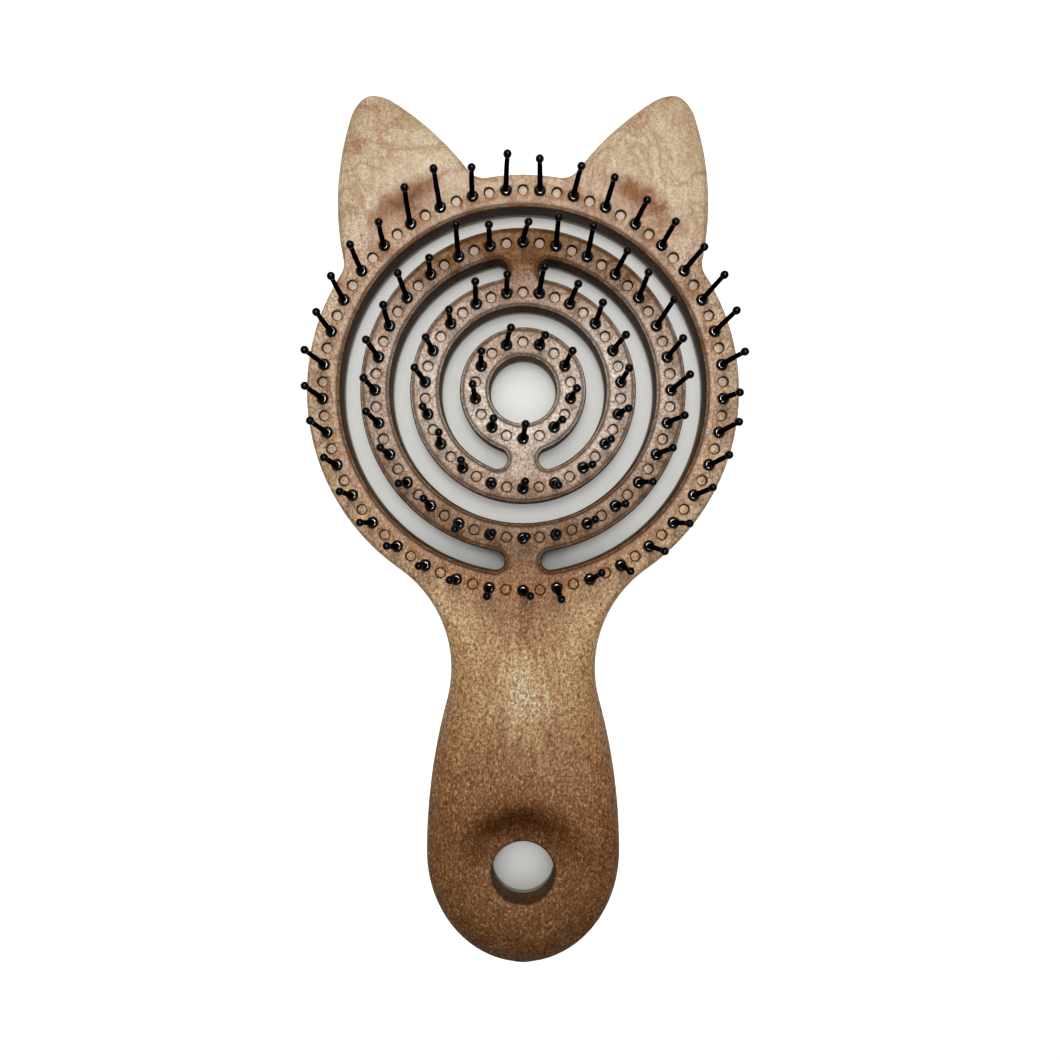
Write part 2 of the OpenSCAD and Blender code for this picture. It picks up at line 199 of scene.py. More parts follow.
class Finishes(bpy.types.PropertyGroup):
    """Colours of the materials."""

    brown: shade("Brown", "Straw-filled plastic where little straw shows", "#8c5c35")
    golden: shade("Golden", "Straw-filled plastic of the handle where the straw shows", "#c4a478")
    # Partly painted sheen: this whiter pale on the head stands in for the soft gloss on it as well as the straw.
    pale: shade("Pale", "Straw-filled plastic of the ears where the straw shows", "#c2b193")
    ring: shade("Rings", "Straw-filled plastic of the rings", "#9c816c")
    # Partly painted sheen: this whitish pink stands in for the gloss on the rings as well as the straw.
    ring_pale_and_sheen: shade("Pale rings", "Straw-filled plastic of the rings where the straw shows", "#cbbcae")
    ring_deep: shade("Deep rings", "Straw-filled plastic of the rings where the resin shows", "#66421f")
    peg: shade("Pegs", "Ends of the pegs", "#cdbfb2")
    fibre_dark: shade("Dark fibres", "Dark fibres in the plastic", "#4c2a13")
    fibre_pale: shade("Pale fibres", "Pale fibres in the plastic", "#c9a06c")
    # Painted shade: this dark colour on the steep walls of the fronts, in the slot grooves, pin wells, peg gaps and
    # the hanging hole stands in for the shade there.
    wall: shade("Walls", "Smooth moulded walls of the fronts", "#3d2818")
    # Painted light: the covers' walls are coloured a light olive grey for the light the paper throws back on them.
    back_wall_painted_bounce: shade("Back walls", "Smooth moulded walls of the covers", "#8d8873")
    nylon: shade("Nylon", "Black nylon of the pins", "#060607")
    floor: shade("Floor", "Paper under the brush", "#e4e4e2")
    shaded: shade("Shaded floor", "Light that the paper gives back inside the slots", "#8c8c88")


GROUPS = {
    "brush_head": HeadSizes,
    "brush_handle": HandleSizes,
    "brush_ears": EarSizes,
    "brush_pins": PinSizes,
    "brush_finish": Finishes,
}


def settings(scene, group):
    """One group's values: lengths in millimetres, the rest as they are."""
    data = getattr(scene, group)
    values = {}
    for name in GROUPS[group].__annotations__:
        value = getattr(data, name)
        values[name] = value / MM if data.bl_rna.properties[name].unit == "LENGTH" else value
    return SimpleNamespace(**values)


def read(scene):
    """All sizes and colours, with the derived middles of the outline's arcs."""
    head, handle, ears, pins, colours = (settings(scene, group) for group in GROUPS)
    r0, step = head.centre_hole_r, head.ring_w + head.slot_w
    head.ring_in = [r0 + i * step for i in range(4)]
    head.ring_out = [r + head.ring_w for r in head.ring_in[:RIM]] + [head.ring_in[RIM] + head.rim_w]
    head.ring_mid = [(a + b) / 2 for a, b in zip(head.ring_in, head.ring_out)]
    head.slot_mid = [r + head.slot_w / 2 for r in head.ring_out[:RIM]]
    neck_w = head.inner_neck_w, head.upper_neck_w, head.lower_neck_w
    end_x = [w / 2 + head.slot_w / 2 for w in neck_w]
    head.slot_end = [(x, math.sqrt(r**2 - x**2)) for x, r in zip(end_x, head.slot_mid)]
    head.flat_r = head.ring_out[RIM] - head.rim_edge
    pins.counts = [pins.inner, pins.third, pins.second, pins.rim]
    rim_r = head.ring_out[RIM]
    waist_x = handle.waist_w / 2 + handle.waist_r
    waist_y = -math.sqrt((rim_r + handle.waist_r) ** 2 - waist_x**2)
    half, low = handle.handle_w / 2, -handle.belly_d
    handle.belly_r = ((waist_x - half) ** 2 + (waist_y - low) ** 2 - handle.waist_r**2) / (
        2 * (handle.waist_r - waist_x + half)
    )
    handle.waist = np.array([waist_x, waist_y])
    handle.belly = np.array([half - handle.belly_r, low])
    handle.join_y = low + (waist_y - low) * handle.belly_r / (handle.belly_r + handle.waist_r)
    ears.tip = ears.reach * np.array([math.sin(ears.bearing), math.cos(ears.bearing)])
    axis = np.array([math.sin(ears.tilt), math.cos(ears.tilt)])
    cross = np.array([axis[1], -axis[0]])
    back = (ears.side_r - ears.tip_r) * math.cos(ears.spread)
    off = (ears.side_r - ears.tip_r) * math.sin(ears.spread)
    ears.axis, ears.cross, ears.back, ears.off = axis, cross, back, off
    ears.outer = ears.tip - back * axis - off * cross
    ears.inner = ears.tip - back * axis + off * cross
    head.middle_y = (handle.belly_d + handle.end_l - ears.tip[1] - ears.tip_r) / 2
    return SimpleNamespace(head=head, handle=handle, ears=ears, pins=pins, colours=colours)


# Plan shapes


def smooth(t):
    """Smoothstep 3t^2 - 2t^3 between 0 and 1."""
    t = np.clip(t, 0, 1)
    return t * t * (3 - 2 * t)


def bell(t):
    """Bell curve exp(-t^2)."""
    return np.exp(-t * t)


def turn(degrees):
    """Unit vectors at angles in degrees."""
    a = np.radians(degrees)
    return np.stack([np.cos(a), np.sin(a)], -1)


def bend(centre, radius, v0, v1, into, step=0.45):
    """Arc about centre from direction v0 to v1 the short way, without its last point.

    Returns its points and unit vectors into the material: into is -1 on a bulge and 1 in a hollow.
    """
    a0, a1 = (math.degrees(math.atan2(v[1], v[0])) for v in (v0, v1))
    sweep = (a1 - a0 + 180) % 360 - 180
    count = max(3, int(abs(math.radians(sweep)) * radius / step))
    out = turn(a0 + sweep * np.arange(count) / count)
    return np.asarray(centre) + radius * out, into * out


def meet(c0, r0, c1, r1, pick):
    """Where the circles r0 about c0 and r1 about c1 cross, on the side that pick names."""
    c0, c1 = np.asarray(c0, float), np.asarray(c1, float)
    v = c1 - c0
    gap = np.hypot(*v)
    along = (r0**2 - r1**2 + gap**2) / (2 * gap)
    u = v / gap
    return c0 + along * u + pick * math.sqrt(r0**2 - along**2) * np.array([-u[1], u[0]])


def outline(sizes):
    """Closed outline of rim, ears and handle: tangent arcs up the right side, mirrored to the left."""
    head, handle, ears = sizes.head, sizes.handle, sizes.ears
    middle, rim_r = np.zeros(2), head.ring_out[RIM]
    half, low = handle.handle_w / 2, -handle.belly_d
    t = np.radians(np.linspace(-90, 0, 70, endpoint=False))
    end = np.stack([half * np.cos(t), low + handle.end_l * np.sin(t)], -1)
    end_in = -np.stack([np.cos(t) / half, np.sin(t) / handle.end_l], -1)
    end_in /= np.linalg.norm(end_in, axis=1, keepdims=True)
    reach, side = rim_r + ears.root_r, ears.side_r + ears.root_r
    out_root = meet(middle, reach, ears.outer, side, -1)
    in_root = meet(middle, reach, ears.inner, side, 1)
    arcs = [
        (end, end_in),
        bend(handle.belly, handle.belly_r, (1, 0), handle.waist - handle.belly, -1),
        bend(handle.waist, handle.waist_r, handle.belly - handle.waist, -handle.waist, 1),
        bend(middle, rim_r, handle.waist, out_root, -1),
        bend(out_root, ears.root_r, -out_root, ears.outer - out_root, 1),
        bend(ears.outer, ears.side_r, out_root - ears.outer, ears.tip - ears.outer, -1),
        bend(ears.tip, ears.tip_r, ears.tip - ears.outer, ears.tip - ears.inner, -1),
        bend(ears.inner, ears.side_r, ears.tip - ears.inner, in_root - ears.inner, -1),
        bend(in_root, ears.root_r, ears.inner - in_root, -in_root, 1),
        bend(middle, rim_r, in_root, (0, 1), -1),
        (np.array([[0, rim_r]]), np.array([[0.0, -1]])),
    ]
    path, into = (np.concatenate([a[k] for a in arcs]) for k in (0, 1))
    mirror = np.array([-1, 1])
    return np.concatenate([path, path[-2:0:-1] * mirror]), np.concatenate([into, into[-2:0:-1] * mirror])


def slot_side(sizes, i, outer, step=0.4):
    """One side of the slot outside ring i, from waist to waist of its neck, the long way round.

    A circle at the slot's edge runs tangent into the round slot ends, which stop where the neck is narrowest.
    Returns points and unit vectors into the material.
    """
    head = sizes.head
    w, mid = head.slot_w / 2, head.slot_mid[i]
    end_x, end_y = head.slot_end[i]
    lean = math.degrees(math.asin(end_x / mid))
    radius = mid + w if outer else mid - w
    near = 90 - lean if outer else 270 - lean
    few = max(8, int(math.pi * w / step))
    many = int(2 * math.pi * radius / step)
    right = turn(np.linspace(180, near, few, endpoint=False))
    ring = turn(np.linspace(90 - lean, lean - 270, many, endpoint=False))
    left = turn(np.linspace(90 + lean if outer else lean - 90, 0, few))
    path = np.concatenate([[end_x, end_y] + w * right, radius * ring, [-end_x, end_y] + w * left])
    into = np.concatenate([right, ring if outer else -ring, left])
    return NECK_SIDES[i] * path, NECK_SIDES[i] * into


def circle(centre, radius, count):
    """Points round a circle and unit vectors away from its middle."""
    out = turn(np.arange(count) * 360 / count)
    return np.asarray(centre) + radius * out, out


def places(sizes, i, half):
    """Middles of the pins of ring i, or of the pegs between them with half 0.5, from the handle side."""
    count = sizes.pins.counts[i]
    return sizes.head.ring_mid[i] * turn(-90 + 360 * (np.arange(count) + half) / count)


def even_odd(points, loops):
    """True for points inside an odd number of closed loops, by crossings of a ray along +X."""
    a = np.concatenate(loops)
    b = np.concatenate([np.roll(loop, -1, 0) for loop in loops])
    inside = np.zeros(len(points), bool)
    slope = (b[:, 0] - a[:, 0]) / np.where(b[:, 1] == a[:, 1], 1, b[:, 1] - a[:, 1])
    for part in np.array_split(np.arange(len(points)), max(1, len(points) // 2000)):
        x, y = points[part, 0:1], points[part, 1:2]
        crosses = (a[:, 1] > y) != (b[:, 1] > y)
        hits = crosses & (x < a[:, 0] + (y - a[:, 1]) * slope)
        inside[part] = hits.sum(1) % 2 == 1
    return inside


def clear_of(points, loops, gap):
    """True for points at least gap from every loop point."""
    edge = np.concatenate(loops)
    far = np.ones(len(points), bool)
    for part in np.array_split(np.arange(len(points)), max(1, len(points) // 1000)):
        d = points[part, None, :] - edge[None, :, :]
        far[part] = (d * d).sum(-1).min(1) > gap * gap
    return far


def fill(loops, spacing=0.0):
    """Triangles over the plan between closed loops, with a hexagonal lattice of inner points where spacing is set."""
    points = np.concatenate(loops)
    if spacing:
        low, high = points.min(0), points.max(0)
        nx, ny = ((high - low) / (spacing * np.array([1, math.sqrt(0.75)]))).astype(int) + 1
        ix, iy = np.meshgrid(np.arange(nx), np.arange(ny))
        lattice = np.stack([ix + 0.5 * (iy % 2), iy * math.sqrt(0.75)], -1).reshape(-1, 2) * spacing + low
        lattice = lattice[even_odd(lattice, loops)]
        points = np.concatenate([points, lattice[clear_of(lattice, loops, 0.6 * spacing)]])
    starts = np.cumsum([0] + [len(loop) for loop in loops])
    edges = np.concatenate(
        [np.stack([np.arange(s, e), np.roll(np.arange(s, e), -1)], -1) for s, e in zip(starts, starts[1:])]
    )
    found = delaunay_2d_cdt([Vector(p) for p in points.tolist()], edges.tolist(), [], 0, 1e-7, True)
    flat = np.array([points[old[0]] if old else spot[:] for spot, old in zip(found[0], found[3])])
    tris = np.array([f for f in found[2] if len(f) == 3])
    return flat, tris[even_odd(flat[tris].mean(1), loops)]


# Meshes


class Skin:
    """Collects grids and fills as triangles, welds them and makes the object.

    Each point carries a mark for the materials: 0 on open faces, -1 in the groove along the slots, where it paints a
    dark line of shade, up to 1 on walls that a core of the mould formed, where it paints shade on fronts and bounce
    light on covers, 2 on peg ends. On pins it is the polish: 1 on the collar, 0 on the shank, a little on the ball.
    """

    def __init__(self):
        self.points, self.tris, self.marks, self.count = [], [], [], 0

    def add(self, points, tris, mark=0.0):
        """Points and triangles over them, with one mark or one for each point or level."""
        self.points.append(points.reshape(-1, 3))
        self.tris.append(tris + self.count)
        self.marks.append(np.broadcast_to(mark, points.shape[:-1]).ravel())
        self.count += len(self.points[-1])

    def grid(self, points, mark=0.0):
        """Rows of points, closed from the last to the first, as two triangles for each cell."""
        rows, cols = points.shape[:2]
        i, j = np.meshgrid(np.arange(rows), np.arange(cols - 1), indexing="ij")
        a, b = i * cols + j, (i + 1) % rows * cols + j
        self.add(points, np.stack([a, b, b + 1, a, b + 1, a + 1], -1).reshape(-1, 3), mark)

    def wall(self, path, into, inset, height, mark=0.0):
        """A profile (inset, height) carried along a closed path. Returns its first and last loops in plan.

        inset and height are one value for each level, or one for each path point and level.
        """
        inset = np.broadcast_to(inset, (len(path), np.shape(inset)[-1]))
        plan, height = offset(path, into, inset), np.broadcast_to(height, inset.shape)
        self.grid(np.concatenate([plan, height[:, :, None]], -1), mark)
        return plan[:, 0], plan[:, -1]

    def plate(self, loops, height, spacing=0.0):
        """A filled plan at a height, which is a number or a function of x and y."""
        flat, tris = fill(loops, spacing)
        z = height(flat[:, 0], flat[:, 1]) if callable(height) else np.full(len(flat), height)
        self.add(np.column_stack([flat, z]), tris)

    def build(self, name, sizes, material, straw=0.0, crease=38):
        """Welds points that agree to a hundredth of a micrometre, drops collapsed triangles and faces it outward.

        straw is the share of straw that shows, with the painted light and shade it carries, one number or one for
        each point of the plan.
        """
        points, tris = np.concatenate(self.points), np.concatenate(self.tris)
        _, first, same = np.unique(np.round(points, 5), axis=0, return_index=True, return_inverse=True)
        tris = same.reshape(-1)[tris]
        a, b, c = tris.T
        tris = tris[(a != b) & (b != c) & (a != c)]
        mesh = bpy.data.meshes.new(name)
        mesh.from_pydata(to_frame(points[first], sizes).tolist(), [], tris.tolist())
        work = bmesh.new()
        work.from_mesh(mesh)
        bmesh.ops.recalc_face_normals(work, faces=work.faces)
        if work.calc_volume(signed=True) < 0:
            bmesh.ops.reverse_faces(work, faces=work.faces)
        work.to_mesh(mesh)
        work.free()
        mesh.polygons.foreach_set("use_smooth", np.ones(len(mesh.polygons), bool))
        mesh.set_sharp_from_angle(angle=math.radians(crease))
        shares = straw(*points[first, :2].T) if callable(straw) else np.full(len(first), straw)
        for attribute, values in (("mark", np.concatenate(self.marks)[first]), ("straw", shares)):
            mesh.attributes.new(attribute, "FLOAT", "POINT").data.foreach_set("value", values)
        mesh.materials.append(material)
        return placed(name, mesh)


def to_frame(points, sizes):
    """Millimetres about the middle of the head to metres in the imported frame."""
    return (points + np.array([0, sizes.head.middle_y, 0])) * MM


def placed(name, data, place=(0, 0, 0)):
    """Adds an object that holds data to the scene."""
    made = bpy.data.objects.new(name, data)
    made.location = place
    bpy.context.scene.collection.objects.link(made)
    return made


def offset(path, into, inset):
    """Plan points at the insets from each path point, along its vector into the material."""
    return path[:, None, :] + into[:, None, :] * inset[:, :, None]


def quarter(levels):
    """Inset and height shares of a quarter round, from the top down: 1 - cos a and sin a for a from 90 to 0."""
    a = np.radians(np.linspace(90, 0, levels))
    return 1 - np.cos(a), np.sin(a)


def front_levels(head):
    """Slot wall of a front moulding: a fine groove, a raised lip, a small round, straight wall and seam bevel."""
    edge, lip = head.front_edge, head.lip
    inset = [1.4, 1.24, 1.04, 0.82, 0.62, 0.45, 0.28, 0.13, 0.04, 0, 0]
    rise = lip * np.array([0, -0.5, -0.9, -0.6, 0.6, 1] + [0.0] * 5)
    drop = edge * np.array([0.0] * 6 + [0.1, 0.3, 0.6, 1, 0])
    z = head.head_t + rise - drop
    z[-1] = head.cover_t + head.seam
    return np.append(edge * np.array(inset), head.seam), np.append(z, head.cover_t)


def cover_levels(head, edge, spread=1.0, levels=6):
    """Wall of a rear cover: seam bevel, straight wall and a back round, spread times as wide as it is high."""
    inset, rise = quarter(levels)
    return (
        np.concatenate([[head.seam, 0], spread * edge * inset[::-1]]),
        np.concatenate([[head.cover_t, head.cover_t - head.seam], edge * (1 - rise[::-1])]),
    )


def sockets(skin, sizes, i):
    """Recesses of pins and pegs in the front of ring i. Returns their rim loops.

    A pin's recess is a plain well under its collar. A peg's has a fine gap that narrows downward round the peg's
    sunken, domed end. The gap's profile is (radius beyond the peg, height above the peg's end), below its rim.
    """
    pins, top = sizes.pins, sizes.head.head_t
    well = [(1.3, 0), (1.23, -0.06), (1.22, -0.7), (0, -0.7)]
    rim = [(0.2, 0), (0.1, -0.06)]
    gap = [(0.06, -0.1), (-0.03, -0.35), (-0.1, 0), (-0.16, 0.08), (-0.3, 0.12), (-pins.peg_r, 0.14)]
    cap = [(pins.peg_r + r, z) for r, z in rim + [(r, z - pins.peg_sink) for r, z in gap]]
    loops = []
    for half, profile, mark in ((0, well, 1.0), (0.5, cap, PEG_MARKS)):
        r, z = np.array(profile).T
        for centre in places(sizes, i, half):
            loops.append(skin.wall(*circle(centre, 0, SOCKET_STEPS), r, top + z, mark)[0])
    return loops


def handle_half(sizes, y):
    """Half width of the handle at y: waist arc, belly arc or the elliptic end."""
    h = sizes.handle
    waist = h.waist[0] - np.sqrt(np.maximum(h.waist_r**2 - (y - h.waist[1]) ** 2, 0))
    belly = h.belly[0] + np.sqrt(np.maximum(h.belly_r**2 - (y + h.belly_d) ** 2, 0))
    end = h.handle_w / 2 * np.sqrt(np.maximum(1 - ((y + h.belly_d) / h.end_l) ** 2, 0))
    return np.where(y > h.join_y, waist, np.where(y > -h.belly_d, belly, end))


def ear_side(sizes, x, y):
    """Place across an ear, from 0 on its axis to 1 on its outline: |t| over the half width at s along the axis."""
    ears = sizes.ears
    s, t = (np.tensordot(np.stack([np.abs(x), y], -1) - ears.tip, v, 1) for v in (ears.axis, ears.cross))
    tip = np.sqrt(np.maximum(ears.tip_r**2 - s * s, 0))
    long = np.sqrt(np.maximum(ears.side_r**2 - (s + ears.back) ** 2, 0)) - ears.off
    half = np.where(s > ears.tip_r * math.cos(ears.spread), tip, long)
    return np.minimum(1, np.abs(t) / np.maximum(1, half))


def straw_and_painted_light(sizes):
    """Share of straw that shows over the plan of rim, ears and handle.

    It follows curves over the distance from the middle of the head: one on rim and ears, and two along the handle,
    in the middle and at the sides. Bell curves add a pale wedge at the waist and a painted highlight on the lip below
    the hanging hole; others darken the weld line above the wedge, and paint shade on the slope above the hole, at the
    ear roots and along the ears' rolled edges.
    """
    ears_from = [38, 41, 45, 50, 54, 59, 66], [0.25, 0.4, 0.58, 0.74, 0.78, 0.6, 0.5]
    # Along the handle the curves lighten the waist's sides, partly as painted bounce light, and darken toward the
    # end, partly as painted shade.
    middle = (
        [36, 41, 46, 50, 55, 60, 64, 69, 76, 85, 117],
        [-0.4, -0.1, -0.05, 0.15, 0.36, 0.44, 0.4, 0.24, 0.08, -0.27, -0.65],
    )
    sides = (
        [38, 44, 48, 52, 57, 66, 80, 88, 100, 117],
        [0.2, 0.52, 0.85, 0.78, 0.6, 0.37, 0.06, -0.22, -0.36, -0.6],
    )
    hole, wedge_top, weld = -sizes.handle.hang_reach, -50, -47

    def share(x, y):
        r, aside = np.hypot(x, y), smooth(np.abs(x) / np.maximum(1, handle_half(sizes, y)))
        grip = (1 - aside) * np.interp(r, *middle) + aside * np.interp(r, *sides)
        below = wedge_top - y
        wedge = bell(x / (2.2 + 0.28 * np.clip(below, 0, 20)))
        grip += 0.58 * wedge * smooth(below / 6) * (1 - smooth((below - 12) / 12))
        grip -= 0.35 * bell(x / 1.2) * bell((y - weld) / 4.5)
        away = np.maximum(1, np.hypot(x, y - hole))
        # Painted shade on the slope above the hanging hole.
        grip -= 0.8 * np.clip((y - hole) / away, 0, 1) * bell((away - 10.7) / 4.6)
        # Painted highlight on the lip below the hanging hole.
        grip += 0.35 * np.clip((hole - y) / away, 0, 1) * bell(away - 7.4)
        across = ear_side(sizes, x, y)
        # Painted shade at the ear roots and along the ears' rolled edges.
        painted_root_shade = bell((r - 45.2) / 2.4) * (1 - smooth(across / 0.7))
        ear = np.interp(r, *ears_from) - painted_root_shade - 0.5 * across**24 * smooth((r - 44) / 4)
        return np.where(y < -20, grip, ear)

    return share


def ring_straw_and_painted_light(x, y):
    """Share of straw that shows on the rings: level + sides * (cos a)^(2 n) + top * sin a at the bearing a.

    The four values change with the ring. Bell curves take some away at the upper neck, as painted shade, and add some
    at the inner, as a painted highlight.
    """
    r, rings = np.maximum(1, np.hypot(x, y)), (10, 20, 30)
    curves = (0.35, -0.32, -0.75), (0.3, 0.94, 1.0), (1, 0.9, 2), (-0.35, 0, -0.05)
    level, sides, power, top = (np.interp(r, rings, curve) for curve in curves)
    # Painted highlight at the inner neck, painted shade at the upper neck.
    necks = 0.25 * bell(np.hypot(x, y + 14.5) / 4) - 0.27 * bell(np.hypot(x, y - 25) / 6)
    return level + sides * ((x / r) ** 2) ** power + top * y / r + necks


def front_height(sizes):
    """Height of the front over the plan.

    Level on the rim. Down the handle it rises along a smoothstep, crowns across, drops along a parabola to
    the end and dips to a flat round the hanging hole. The ears rise along a shorter smoothstep and crown across.
    """
    head, h, ears = sizes.head, sizes.handle, sizes.ears

    def height(x, y):
        r = np.hypot(x, y)
        crown = h.crown_drop * np.minimum(1, np.abs(x) / np.maximum(1, handle_half(sizes, y))) ** 2
        tail = h.end_drop * np.clip(1 - (y + h.belly_d + h.end_l) / h.end_run, 0, 1) ** 2
        grip = (h.handle_t - head.head_t - crown - tail) * smooth((r - head.flat_r) / h.rise_l)
        ramp = smooth((np.hypot(x, y + h.hang_reach) - h.hang_r - h.hang_flat) / h.hang_slope)
        below = h.hang_t + (head.head_t + grip - h.hang_t) * ramp
        dome = 1 - ears.crown * ear_side(sizes, x, y) ** 2
        ear = head.head_t + ears.rise * dome * smooth((r - head.flat_r) / ears.slope)
        return np.where(y < 0, below, ear)

    return height


def edge_width(sizes, path):
    """Width of the edge rounding along the outline: narrow on the rim, wider on ears and handle."""
    head, x, y = sizes.head, path[:, 0], path[:, 1]
    beyond = np.hypot(x, y) - head.ring_out[RIM]
    handle_run, ear_run = 14, 7
    width = np.where(y < 0, sizes.handle.edge, sizes.ears.edge)
    return head.rim_edge + (width - head.rim_edge) * smooth(beyond / np.where(y < 0, handle_run, ear_run))


def front_moulding(sizes, material):
    """Rim, ears and handle in one: height field, rolled outer edge, slot wall, sockets and hanging hole."""
    head, h = sizes.head, sizes.handle
    skin, height = Skin(), front_height(sizes)
    path, into = outline(sizes)
    inset, rise = quarter(12)
    inset = edge_width(sizes, path)[:, None] * inset
    top = height(*np.moveaxis(offset(path, into, inset), -1, 0))
    z = h.side_z + (top - h.side_z) * rise
    foot = np.broadcast_to([head.cover_t + head.seam, head.cover_t], (len(path), 2))
    inset = np.concatenate([inset, np.broadcast_to([0, head.seam], foot.shape)], 1)
    side = skin.wall(path, into, inset, np.concatenate([z, foot], 1))
    slot = skin.wall(*slot_side(sizes, RIM - 1, True), *front_levels(head), SLOT_MARKS)
    lip, drop = (h.hang_edge * share for share in quarter(6))
    hang = skin.wall(
        *circle((0, -h.hang_reach), h.hang_r, HANG_STEPS),
        np.append(lip, 0),
        np.append(h.hang_t - h.hang_edge + drop, head.cover_t),
        HANG_MARK,
    )
    tops, feet = zip(side, slot, hang)
    skin.plate([*tops, *sockets(skin, sizes, RIM)], height, spacing=0.9)
    skin.plate(feet, head.cover_t)
    return skin.build("front_moulding", sizes, material, straw_and_painted_light(sizes))


def rear_shell(sizes, material):
    """Back of rim, ears and handle: flat, with a rolled outer edge, slot wall and hanging hole."""
    head, h, skin = sizes.head, sizes.handle, Skin()
    drop = head.cover_t - 2 * head.seam
    side = skin.wall(*outline(sizes), *cover_levels(head, drop, spread=1.3, levels=8))
    slot = skin.wall(*slot_side(sizes, RIM - 1, True), *cover_levels(head, head.back_edge), 1.0)
    lip, low = (h.hang_edge * share[::-1] for share in quarter(6))
    hang = skin.wall(
        *circle((0, -h.hang_reach), h.hang_r, HANG_STEPS),
        np.append(0, lip),
        np.append(head.cover_t, h.hang_edge - low),
        1.0,
    )
    tops, feet = zip(side, slot, hang)
    skin.plate(tops, head.cover_t)
    skin.plate(feet, 0.0)
    return skin.build("rear_shell", sizes, material, straw_and_painted_light(sizes))


def ring_layer(sizes, i, front, material):
    """Front or cover of floating ring i with its own neck, as one skin."""
    head, skin = sizes.head, Skin()
    levels = front_levels(head) if front else cover_levels(head, head.back_edge)
    mark = SLOT_MARKS if front else 1.0
    inner = slot_side(sizes, i - 1, True) if i else circle((0, 0), head.centre_hole_r, CENTRE_STEPS)
    tops, feet = zip(*(skin.wall(*side, *levels, mark) for side in (slot_side(sizes, i, False), inner)))
    holes = sockets(skin, sizes, i) if front else []
    skin.plate([*tops, *holes], head.head_t if front else head.cover_t)
    skin.plate(feet, head.cover_t if front else 0.0)
    return skin.build(f"{RING_WORDS[i]}_ring_{'face' if front else 'back'}", sizes, material, ring_straw_and_painted_light)


def pin_set(sizes, i, material, rng):
    """All pins of ring i: one turned profile of foot, collar, shank and ball, bent along each pin's own lean."""
    p, top = sizes.pins, sizes.head.head_t
    foot_z = -0.65
    dome = np.linspace(0, 1, 7)
    ball = np.radians(np.linspace(-64, 90, 12))
    collar_r = p.collar_r + (p.shank_foot_r * 1.12 - p.collar_r) * dome
    shank_r = [p.shank_foot_r, p.shank_foot_r * 0.97, p.shank_tip_r * 1.1, p.shank_tip_r]
    shank_z = [p.collar_h + 0.25, 2.5, 10.0, p.height - 1.2]
    r = np.concatenate([[0, p.collar_r], collar_r, shank_r, p.ball_r * np.cos(ball)])
    z = np.concatenate(
        [[foot_z] * 2, p.collar_h * (1 - (1 - dome) ** 2), shank_z, p.height + p.ball_r * np.sin(ball)]
    )
    mark = np.repeat([1, 0, BALL_MARK], [2 + len(dome), len(shank_r), len(ball)])
    r[-1] = 0
    spots = places(sizes, i, 0)
    lean = rng.normal([p.lean, 0], [0.7 * p.lean, 1.3 * p.lean], (len(spots), 2))
    bow = np.clip(z / p.height, 0, None) ** 1.3
    out = turn(np.arange(PIN_STEPS) * 360 / PIN_STEPS)
    plan = spots[:, None, None, :] + lean[:, None, None, :] * bow[:, None] + out[None, :, None, :] * r[:, None]
    points = np.concatenate([plan, np.broadcast_to(top + z, plan.shape[:3])[..., None]], -1)
    skin = Skin()
    for pin in points:
        skin.grid(pin, mark)
    return skin.build(f"{RING_WORDS[i]}_pin_set", sizes, material, crease=50)


# Materials


def linear(hex_value):
    """An sRGB hex value as linear RGBA."""
    srgb = [int(hex_value[k : k + 2], 16) / 255 for k in (1, 3, 5)]
    return [c / 12.92 if c <= 0.04045 else ((c + 0.055) / 1.055) ** 2.4 for c in srgb] + [1.0]


def node(tree, kind, inputs=(), operation=None, **values):
    """Adds a shader node, sets its values, and sets or links its inputs, which are given by name or in order.

    A node stands for its first output and a (node, output) pair for that output. In order, a map range takes its
    value, the two ends of the old range and the two of the new, which are 0 and 1 where they are left out.
    """
    made = tree.nodes.new("ShaderNode" + kind)
    if operation:
        made.operation = operation
    for key, value in values.items():
        setattr(made, key, value)
    for key, value in inputs.items() if isinstance(inputs, dict) else enumerate(inputs):
        link = value if isinstance(value, tuple) else (value, 0)
        if isinstance(link[0], bpy.types.Node):
            tree.links.new(link[0].outputs[link[1]], made.inputs[key])
        else:
            made.inputs[key].default_value = value
    return made


def cleared(owner):
    """Gives a new material or world an empty node tree. Returns the node function for that tree."""
    owner.use_nodes = True
    owner.node_tree.nodes.clear()
    return partial(node, owner.node_tree)


def millimetres(add):
    """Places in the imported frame, in millimetres."""
    return add("Mapping", {"Vector": (add("TexCoord"), "Object"), "Scale": (1 / MM,) * 3})


def mixed(add, share, first, second):
    """A share of the second colour over the first. Returns the mixed colour."""
    factor, one, other, result = 0, 6, 7, 2
    return add("Mix", {factor: share, one: first, other: second}, data_type="RGBA"), result


